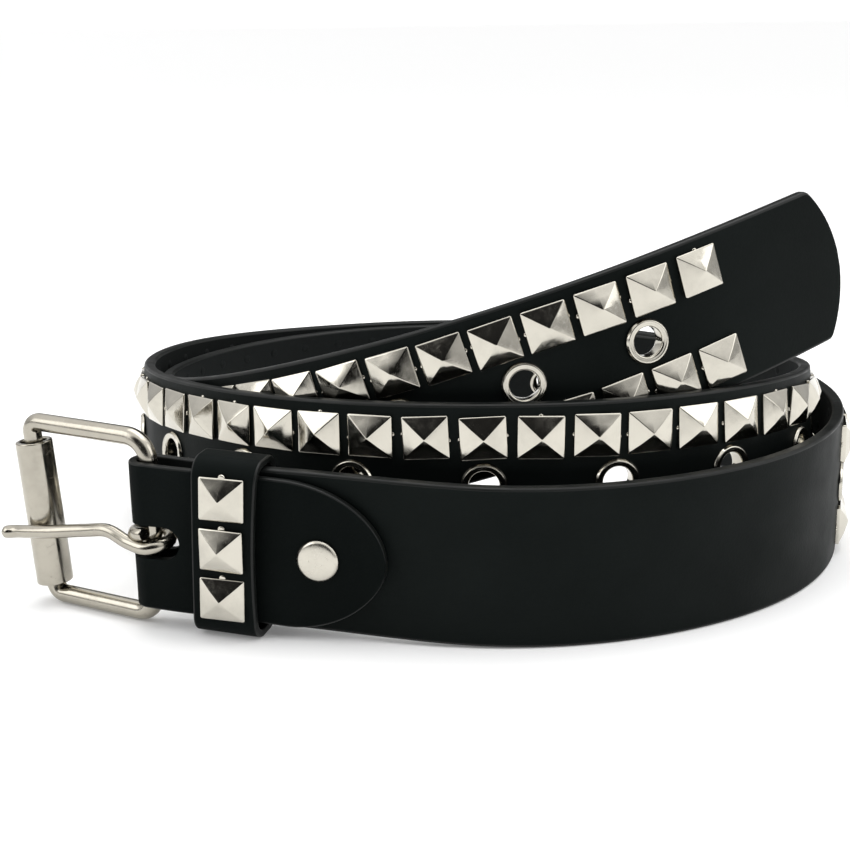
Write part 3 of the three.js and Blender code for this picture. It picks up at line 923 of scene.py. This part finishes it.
def bump_part():
    """The low mound that a bent prong raises in the strap's lining."""
    profile = in_mm((0, 0.32), (0.6, 0.27), (1.1, 0.12), (1.5, -0.1), (0, -0.1))
    return closed_mesh("bump_part", *lathe(profile, 12))


def stud_places():
    places = []
    for column in range(STUD_COLUMNS):
        for row in (-1, 1):
            place = outward_place(FIRST_STUD + column * STUD_PITCH, row * ROW_OFFSET)
            place.translation += axes_of(place)[2] * STRAP_THICK / 2
            places.append(place)
    return places


def root_places(sizes):
    """Prong roots beside or over each stud, as the stud happened to be pressed in."""
    chance = random.Random(sizes.seed)
    places = []
    for place in stud_places():
        x_axis, y_axis, z_axis = axes_of(place)
        if chance.random() < PRONG_SIDEWAYS:
            sides = [(y_axis, -x_axis, sizes.stud_width / 2), (-y_axis, x_axis, sizes.stud_width / 2)]
        else:
            sides = [(x_axis, y_axis, sizes.stud_height / 2)]
        for across, out, reach in sides:
            slide = chance.uniform(-PRONG_SLIDE, PRONG_SLIDE)
            centre = place.translation + out * (reach - PRONG_TUCK) + across * slide
            places.append(matrix_of(across, out, z_axis, centre))
    return places


def bump_places():
    places = []
    for column in range(STUD_COLUMNS):
        for row in (-1, 1):
            for end in (-1, 1):
                upward = row * ROW_OFFSET + end * PRONG_MARK
                place = outward_place(FIRST_STUD + column * STUD_PITCH, upward)
                x_axis, y_axis, z_axis = axes_of(place)
                centre = place.translation - z_axis * STRAP_THICK / 2
                places.append(matrix_of(-x_axis, y_axis, -z_axis, centre))
    return places


class BELT_OT_studs(bpy.types.Operator):
    """Set the pyramid studs along the strap and the marks of their prongs behind it"""

    bl_idname = "belt.studs"
    bl_label = "Studs"

    def execute(self, context):
        sizes = context.scene.belt_sizes
        play, seed = sizes.stud_play, sizes.seed
        mesh = scattered("strap_studs", stud_places(), stud_part(sizes), "stud_nickel", play, seed)
        weigh_normals(finish_mesh("strap_studs", mesh, "belt", ["strap"]))
        mesh = scattered("prong_roots", root_places(sizes), root_part(), "stud_nickel", play, seed)
        weigh_normals(finish_mesh("prong_roots", mesh, "belt", ["strap"]))
        mesh = scattered("lining_bumps", bump_places(), bump_part(), "strap_lining", MARK_PLAY, seed)
        finish_mesh("lining_bumps", mesh, "belt", ["strap"])
        return {"FINISHED"}


# Eyelets


def eyelet_part(sizes):
    """A turned eyelet: a domed rim, a barrel and a rolled back."""
    hole, rim, face = sizes.eyelet_bore / 2, sizes.eyelet_outer / 2, STRAP_THICK / 2
    profile = in_mm((0, 0.1), start=(hole, -face))
    dome = ((0, -0.1), (0.08, 0.45), (0.35, 0.72), (0.75, 0.66), (1.05, 0.7), (1.45, 0.86))
    profile += in_mm(*dome, start=(hole, face))
    profile += in_mm((-0.45, 0.74), (-0.12, 0.42), (0, 0.08), (-0.1, -0.05), start=(rim, face))
    profile += in_mm((0.45, -0.05), start=(hole, face))
    roll = ((0.45, 0.05), (1.35, 0.05), (1.45, -0.2), (1.15, -0.45), (0.5, -0.48), (0.1, -0.3))
    return closed_mesh("eyelet_part", *lathe(profile + in_mm(*roll, start=(hole, -face)), 40))


class BELT_OT_eyelets(bpy.types.Operator):
    """Set an eyelet in each hole of the middle line"""

    bl_idname = "belt.eyelets"
    bl_label = "Eyelets"

    def execute(self, context):
        sizes = context.scene.belt_sizes
        places = [outward_place(length) for length in eyelet_lengths()]
        play = sizes.stud_play * 0.5
        mesh = scattered("eyelets", places, eyelet_part(sizes), "eyelet_nickel", play, sizes.seed)
        nodes = [f"eyelet_{k:02d}" for k in range(1, EYELET_COUNT + 1)]
        finish_mesh("eyelets", mesh, "belt", nodes)
        return {"FINISHED"}


# Chape


def chape_rise(length):
    return CHAPE_RISE * (1 - length / CHAPE_LEVEL)


def tab_edge(distance, point):
    """How far the tab reaches up or down at a distance from its tip."""
    run = 1 - min(max(distance, 0) / TAB_ROUND, 1)
    return max(CHAPE_WIDTH / 2 * (1 - run**2) ** point, 0.5 * MM)


def flap_stations(end, sign, fold_radius):
    """Stations of one flap, from the fold to its round end, fuller above than below."""
    step = 1 * MM
    lengths = [k * step for k in range(1, round((end - TAB_ROUND) / step))]
    near = 30
    lengths += [end - TAB_ROUND * math.cos(k / near * math.pi / 2) ** 1.5 for k in range(near)]
    lengths.append(end - TIP_LAST)
    stations = []
    for length in lengths:
        centre, _, out, up = strap_frame(length)
        settle = smoothstep(length, TAB_SETTLE, STRAP_START - GAP)
        offset = fold_radius + (CHAPE_OFFSET - fold_radius) * settle
        above, below = tab_edge(end - length, TAB_FULL), tab_edge(end - length, TAB_POINT)
        middle = centre + out * sign * offset + up * (chape_rise(length) + (above - below) / 2)
        crown = TAB_CROWN * smoothstep(length, CROWN_START, CROWN_WHOLE)
        flare = fold_flare(0.35 * (1 - settle))
        push = crowned(crown, flare) if sign > 0 else flare
        stations.append((middle, out * -sign, up, (above + below) / 2, push))
    return stations


def fold_flare(share):
    """The fold stands a little looser of the bar at its top than at its foot."""
    return lambda along: share * FOLD_FLARE * (1 - 2 * smoothstep(along, -CHAPE_WIDTH / 2, CHAPE_WIDTH / 2))


def crowned(crown, flare):
    return lambda along: flare(along) - crown * (1 - (2 * along / CHAPE_WIDTH) ** 2)


def fold_stations(fold_radius):
    centre, along, out, up = strap_frame(0)
    centre += up * CHAPE_RISE
    count = 20
    stations = []
    for k in range(count + 1):
        angle = k * math.pi / count
        reach = out * math.cos(angle) - along * math.sin(angle)
        flare = fold_flare(0.35 + 0.65 * math.sin(angle))
        stations.append((centre + reach * fold_radius, -reach, up, CHAPE_WIDTH / 2, flare))
    return stations


CHAPE_ROWS = (-0.78, -0.52, -0.27, 0.27, 0.52, 0.78)


class BELT_OT_chape(bpy.types.Operator):
    """Make the folded chape with the tongue's slot"""

    bl_idname = "belt.chape"
    bl_label = "Chape"

    def execute(self, context):
        fold_radius = context.scene.belt_sizes.frame_wire / 2 + GAP + CHAPE_THICK / 2
        front = flap_stations(TAB_LENGTH, 1, fold_radius)[::-1]
        back = flap_stations(FLAP_LENGTH, -1, fold_radius)
        stations = front + fold_stations(fold_radius) + back
        points, faces, count = band(stations, CHAPE_THICK, 0.45 * MM, CHAPE_ROWS)
        mesh = mesh_from("chape_leather", points, faces)
        paint_band(mesh, count, CHAPE_ROWS, outer=2, inner=0)
        face_outwards(mesh)
        finishes = ("chape_coating", "edge_paint", "strap_lining")
        piece = finish_mesh("chape_leather", mesh, "belt", ["chape"], finishes)
        cut_with(piece, *slot_cutter(SLOT_LENGTH, -3 * fold_radius, FRONT_SLOT_DEPTH))
        cut_with(piece, *slot_cutter(BACK_SLOT_LENGTH, BACK_SLOT_DEPTH, 3 * fold_radius))
        weigh_normals(piece)
        return {"FINISHED"}


def slot_cutter(right, near, far):
    """A prism for the tongue's slot, round at its right end, between two depths."""
    place = level_place(0, TONGUE_AT)
    left, radius = -2 * CHAPE_OFFSET - 2 * FOLD_FLARE, SLOT_HEIGHT / 2
    outline = [(left, -radius)]
    for k in range(17):
        angle = -math.pi / 2 + k * math.pi / 16
        outline.append((right - radius + radius * math.cos(angle), radius * math.sin(angle)))
    outline.append((left, radius))
    return prism(*([place @ Vector((x, depth, z)) for x, z in outline] for depth in (near, far)))


# Keeper


def keeper_path(inset):
    """The keeper's loop as (inward, up) points and outward vectors, at a depth below its face."""
    steps = 12
    radius = KEEPER_BEND
    path = []
    for corner, (side, end) in enumerate(((1, -1), (1, 1), (-1, 1), (-1, -1))):
        centre = Vector((side * (KEEPER_DEPTH / 2 - radius), end * (KEEPER_HEIGHT / 2 - radius)))
        for k in range(steps + 1):
            angle = (corner - 1 + k / steps) * math.pi / 2
            reach = Vector((math.cos(angle), math.sin(angle)))
            path.append((centre + reach * (radius - inset), reach))
        if corner in (0, 2):
            direction = 1 if corner == 0 else -1
            for k in range(1, 12):
                up = direction * (k / 6 - 1) * (KEEPER_HEIGHT / 2 - radius)
                belly = KEEPER_BELLY * (1 - (up / (KEEPER_HEIGHT / 2 - radius)) ** 2) if side < 0 else 0
                path.append((Vector((side * (KEEPER_DEPTH / 2 - inset + belly), up)), Vector((side, 0))))
    return path


class BELT_OT_keeper(bpy.types.Operator):
    """Make the keeper loop and its three studs"""

    bl_idname = "belt.keeper"
    bl_label = "Keeper"

    def execute(self, context):
        sizes = context.scene.belt_sizes
        place = keeper_place()
        stations = []
        for middle, reach in keeper_path(KEEPER_THICK / 2):
            half = KEEPER_FACE / 2 - 0.5 * MM * (1 - (2 * middle.y / KEEPER_HEIGHT) ** 2)
            centre = place @ Vector((0, middle.x, middle.y))
            out = place.to_3x3() @ Vector((0, reach.x, reach.y))
            across = place.to_3x3() @ Vector((1, 0, 0))
            stations.append((centre, out, across, half, None))
        rows = (-0.6, -0.2, 0.2, 0.6)
        points, faces, count = band(stations, KEEPER_THICK, 0.5 * MM, rows)
        faces = faces[:-2] + between_rings((len(stations) - 1) * count, 0, count)
        mesh = mesh_from("keeper_leather", points, faces)
        paint_band(mesh, count, rows)
        face_outwards(mesh)
        finishes = ("chape_coating", "edge_paint", "strap_lining")
        weigh_normals(finish_mesh("keeper_leather", mesh, "belt", ["keeper"], finishes))
        places = []
        for number in range(1, KEEPER_STUDS + 1):
            up = ((KEEPER_STUDS + 1) / 2 - number) * KEEPER_PITCH + KEEPER_STUD_RISE
            belly = KEEPER_BELLY * (1 - (up / (KEEPER_HEIGHT / 2 - KEEPER_BEND)) ** 2)
            centre = place @ Vector((0, -KEEPER_DEPTH / 2 - belly, up))
            axes = [place.to_3x3() @ Vector(axis) for axis in ((1, 0, 0), (0, 0, 1), (0, -1, 0))]
            places.append(matrix_of(*axes, centre))
        play, seed = sizes.stud_play, sizes.seed
        mesh = scattered("keeper_studs", places, stud_part(sizes), "stud_nickel", play, seed + 1)
        nodes = [f"keeper_stud_{number}" for number in range(1, KEEPER_STUDS + 1)]
        weigh_normals(finish_mesh("keeper_studs", mesh, "belt", nodes))
        roots = []
        for place in places:
            centre = place.translation + axes_of(place)[1] * sizes.stud_height / 2
            roots.append(matrix_of(*axes_of(place), centre))
        mesh = scattered("keeper_prong_roots", roots, root_part(), "stud_nickel", play, seed, 1.5)
        weigh_normals(finish_mesh("keeper_prong_roots", mesh, "belt", nodes))
        return {"FINISHED"}


# Snap


class BELT_OT_snap(bpy.types.Operator):
    """Make the snap's domed cap, post and back ring"""

    bl_idname = "belt.snap"
    bl_label = "Snap"

    def execute(self, context):
        cap = context.scene.belt_sizes.snap_cap / 2
        outer = CHAPE_OFFSET + CHAPE_THICK / 2 + 0.2 * MM
        profile = [(0, outer + 1.45 * MM)]
        for k in range(1, 9):
            angle = k / 8 * math.pi / 2
            height = outer + 0.85 * MM + 0.6 * MM * math.cos(angle)
            profile.append(((cap - 0.35 * MM) * math.sin(angle), height))
        profile += in_mm((-0.1, 0.7), (0, 0.4), (-0.08, 0.1), (-0.4, -0.05), start=(cap, outer))
        profile += in_mm((1.7, -0.05), start=(0, outer))
        back = ((1.7, 0.05), (4.2, 0.05), (4.4, -0.2), (4.1, -0.55), (2.6, -0.6), (2.2, -0.35), (0, -0.3))
        profile += in_mm(*back, start=(0, -outer))
        points, faces = lathe(profile, 56, outward_place(SNAP_AT, chape_rise(SNAP_AT)))
        mesh = closed_mesh("snap_cap", points, faces)
        finish_mesh("snap_cap", mesh, "belt", ["snap"], ["snap_nickel"])
        return {"FINISHED"}


# Buckle


def frame_path():
    """The closed centre line of the frame's wire, in the buckle's own frame."""
    height = FRAME_HEIGHT - FRAME_WIRE
    steps = 12
    path = []
    for corner, (across, along) in enumerate(((0, -1), (0, 1), (-1, 1), (-1, -1))):
        radius = FRAME_CORNER if across else FRAME_BEND
        x = across * (FRAME_REACH - radius) if across else -radius
        middle = Vector((x, 0, along * (height / 2 - radius)))
        for k in range(steps + 1):
            angle = (corner - 1 + k / steps) * math.pi / 2
            point = middle + radius * Vector((math.cos(angle), 0, math.sin(angle)))
            point.x += FRAME_SKEW * 2 * point.z / height * point.x / FRAME_REACH
            path.append(point)
    return path


def tongue_path(sizes):
    """The tongue's centre line: a turn round the rear bar and a run over the roller."""
    curl = sizes.frame_wire / 2 + GAP + sizes.tongue_wire / 2
    rise = sizes.tongue_wire + GAP
    knots = []
    for angle in range(280, -91, -30):
        turn = math.radians(angle)
        height = ((angle + 90) / 360 - 0.5) * rise
        knots.append(Vector((math.cos(turn) * curl, math.sin(turn) * curl, height)))
    on_roller = ROLLER_OUTER / 2 + GAP + sizes.tongue_wire / 2
    for share, side, height in (
        (0.13, -curl, -0.25),
        (0.3, -curl, 0.3),
        (0.5, -curl - GAP, 0.05),
        (0.8, -on_roller + GAP, -0.35),
        (1, -on_roller - GAP / 2, -0.6),
        (1 + TONGUE_TIP * 0.5 / FRAME_REACH, -on_roller - GAP, -0.72),
        (1 + TONGUE_TIP / FRAME_REACH, -on_roller - TONGUE_KICK, -0.8),
    ):
        knots.append(Vector((-FRAME_REACH * share, side, height * rise)))
    return [point + UP * (TONGUE_AT - BUCKLE_MIDDLE) for point in smooth_through(knots, 6)]


def smooth_through(knots, steps):
    """Points on a centripetal curve through knots."""
    ends = [knots[0] * 2 - knots[1], *knots, knots[-1] * 2 - knots[-2]]
    points = []
    for k in range(1, len(ends) - 2):
        a, b, c, d = ends[k - 1 : k + 3]
        ab, bc, cd = ((p - q).length ** 0.5 for p, q in ((a, b), (b, c), (c, d)))
        leave = (b - a) / ab - (c - a) / (ab + bc) + (c - b) / bc
        arrive = (c - b) / bc - (d - b) / (bc + cd) + (d - c) / cd
        for j in range(steps):
            t = j / steps
            points.append(
                (2 * t**3 - 3 * t**2 + 1) * b
                + (t**3 - 2 * t**2 + t) * leave * bc
                + (-2 * t**3 + 3 * t**2) * c
                + (t**3 - t**2) * arrive * bc
            )
    points.append(knots[-1])
    return points


def rounded_tip(points, radius):
    """Thickness along a wire that is cut square where it starts and rounded over where it ends."""
    left = [0]
    for after, before in zip(points[:0:-1], points[-2::-1]):
        left.append(left[-1] + (after - before).length)
    shares = [min(length / radius, 1) for length in reversed(left)]
    thickness = [0.3 + 0.7 * math.sqrt(1 - (1 - share) ** 2) for share in shares]
    thickness[0] = 0.9
    return thickness


def roller_profile():
    """The roller's wall, with both of its ends eased."""
    outer, inner, half = ROLLER_OUTER / 2, ROLLER_OUTER / 2 - ROLLER_WALL, ROLLER_LENGTH / 2
    lip = ROLLER_LIP
    end = [(inner, lip), (inner + lip * 0.3, lip * 0.3), (inner + lip, 0)]
    end += [(outer - lip, 0), (outer - lip * 0.3, lip * 0.3), (outer, lip)]
    middle = [(outer, -half * 0.5), (outer, 0), (outer, half * 0.5)]
    upper = [(radius, half - up) for radius, up in end[::-1]]
    return [(radius, up - half) for radius, up in end] + middle + upper


class BELT_OT_buckle(bpy.types.Operator):
    """Make the wire frame, the roller and the tongue"""

    bl_idname = "belt.buckle"
    bl_label = "Buckle"

    def execute(self, context):
        sizes = context.scene.belt_sizes
        place = buckle_place()
        path = [place @ point for point in frame_path()]
        mesh = wire("frame_wire", path, sizes.frame_wire, sizes.wire_sides, closed=True)
        finish_mesh("frame_wire", mesh, "frame", ["buckle_frame"])
        path = [place @ point for point in tongue_path(sizes)]
        ends = rounded_tip(path, sizes.tongue_wire * 0.5)
        mesh = wire("tongue_wire", path, sizes.tongue_wire, sizes.wire_sides, thickness=ends)
        finish_mesh("tongue_wire", mesh, "tongue", ["tongue"])
        skew = math.atan(2 * FRAME_SKEW / (FRAME_HEIGHT - FRAME_WIRE))
        bar = Matrix.Translation((-FRAME_REACH, 0, 0)) @ Matrix.Rotation(-skew, 4, "Y")
        seam = Matrix.Rotation(math.radians(ROLLER_SEAM_TURN), 4, "Z")
        seat = place @ bar @ Matrix.Translation((0, 0, -ROLLER_DROP)) @ seam
        mesh = closed_mesh("roller_tube", *lathe(roller_profile(), 96, seat, notch=ROLLER_SEAM))
        piece = finish_mesh("roller_tube", mesh, "roller", ["roller"], ["buckle_nickel"])
        weigh_normals(piece)
        return {"FINISHED"}


# Stage


def softbox(name, place, level, width, height, power):
    """A soft area light that faces a point over the model's origin."""
    data = bpy.data.lights.new(name, "AREA")
    data.shape = "RECTANGLE"
    data.size, data.size_y = width, height
    data.energy = power
    light = linked(name, data)
    light.location = place
    light.rotation_euler = (UP * level - Vector(place)).to_track_quat("-Z", "Y").to_euler()


def studio_world():
    """Soft white surroundings, dimmer towards the horizon and dark in two directions, as in a room."""
    world = bpy.data.worlds.new("studio")
    world.use_nodes = True
    tree = world.node_tree
    direction = added(tree, "ShaderNodeTexCoord").outputs["Generated"]
    height = added(tree, "ShaderNodeSeparateXYZ", {"Vector": direction}).outputs["Z"]
    light = ranged(tree, height, 0, 0.8, HORIZON_LIGHT, OVERHEAD_LIGHT)
    for towards, start, full in DARK_DIRECTIONS:
        both = {0: direction, 1: Vector(towards).normalized()}
        facing = added(tree, "ShaderNodeVectorMath", both, operation="DOT_PRODUCT")
        light = maths(tree, "MULTIPLY", light, ranged(tree, facing.outputs["Value"], start, full, 1, 0.02))
    seen = added(tree, "ShaderNodeLightPath").outputs["Is Camera Ray"]
    strength = maths(tree, "MAXIMUM", light, maths(tree, "MULTIPLY", seen, BACKDROP_LIGHT))
    tree.links.new(strength, tree.nodes["Background"].inputs["Strength"])
    tree.nodes["Background"].inputs["Color"].default_value = (1, 1, 1, 1)
    bpy.context.scene.world = world


def photo_camera():
    """The camera where it stood for the photograph."""
    data = bpy.data.cameras.new("photo_camera")
    data.sensor_fit = "HORIZONTAL"
    data.sensor_width = SENSOR_WIDTH
    data.lens = FOCAL_PIXELS / PHOTO_SIDE * SENSOR_WIDTH
    data.shift_y = (OPTICAL_ROW - PHOTO_SIDE / 2) / PHOTO_SIDE
    data.clip_start, data.clip_end = 0.01, 60
    camera = linked("photo_camera", data)
    right = Vector((1, 0, 0))
    above = Vector((0, math.sin(CAMERA_PITCH), math.cos(CAMERA_PITCH)))
    back = Vector((0, -math.cos(CAMERA_PITCH), math.sin(CAMERA_PITCH)))
    turned_right = right * math.cos(CAMERA_ROLL) + above * math.sin(CAMERA_ROLL)
    turned_above = above * math.cos(CAMERA_ROLL) - right * math.sin(CAMERA_ROLL)
    camera.matrix_world = matrix_of(turned_right, turned_above, back, CAMERA_PLACE + SHIFT)
    bpy.context.scene.camera = camera


class BELT_OT_stage(bpy.types.Operator):
    """Make the pale floor, the soft light and the camera"""

    bl_idname = "belt.stage"
    bl_label = "Stage"

    def execute(self, context):
        corners = [(-20, -20, 0), (20, -20, 0), (20, 20, 0), (-20, 20, 0)]
        mesh = mesh_from("floor", corners, [(0, 1, 2, 3)], smooth=False)
        tree, shader = new_material("floor_card", context.scene.belt_colours.floor, 0.7, specular=0.2)
        bumped(tree, shader, (noise(tree, 300, 3), 0.04, 0.1 * MM))
        shader.inputs["Emission Color"].default_value = (1, 1, 1, 1)
        shader.inputs["Emission Strength"].default_value = FLOOR_GLOW
        mesh.materials.append(bpy.data.materials["floor_card"])
        linked("floor", mesh)
        studio_world()
        for box in SOFTBOXES:
            softbox(*box)
        photo_camera()
        context.scene.view_settings.view_transform = "Standard"
        context.scene.view_settings.look = "None"
        return {"FINISHED"}


# Panel


class BELT_PT_panel(bpy.types.Panel):
    """Sizes, colours and pieces of the belt"""

    bl_label = "Studded Belt"
    bl_idname = "BELT_PT_panel"
    bl_space_type = "VIEW_3D"
    bl_region_type = "UI"
    bl_category = "Belt"

    def draw(self, context):
        layout = self.layout
        for group in (context.scene.belt_sizes, context.scene.belt_colours):
            box = layout.box()
            for name in group.bl_rna.properties.keys():
                if name not in {"rna_type", "name"}:
                    box.prop(group, name)
        for operator in OPERATORS:
            layout.operator(operator.bl_idname)


OPERATORS = (
    BELT_OT_stage,
    BELT_OT_strap,
    BELT_OT_studs,
    BELT_OT_eyelets,
    BELT_OT_chape,
    BELT_OT_keeper,
    BELT_OT_snap,
    BELT_OT_buckle,
)
CLASSES = (BeltSizes, BeltColours, *OPERATORS, BELT_PT_panel)


def register():
    for entry in CLASSES:
        bpy.utils.register_class(entry)
    bpy.types.Scene.belt_sizes = PointerProperty(type=BeltSizes)
    bpy.types.Scene.belt_colours = PointerProperty(type=BeltColours)


def unregister():
    del bpy.types.Scene.belt_colours
    del bpy.types.Scene.belt_sizes
    for entry in reversed(CLASSES):
        bpy.utils.unregister_class(entry)


def main():
    register()
    bpy.ops.belt.stage()
    bpy.ops.belt.strap()
    bpy.ops.belt.studs()
    bpy.ops.belt.eyelets()
    bpy.ops.belt.chape()
    bpy.ops.belt.keeper()
    bpy.ops.belt.snap()
    bpy.ops.belt.buckle()


if __name__ == "__main__":
    main()
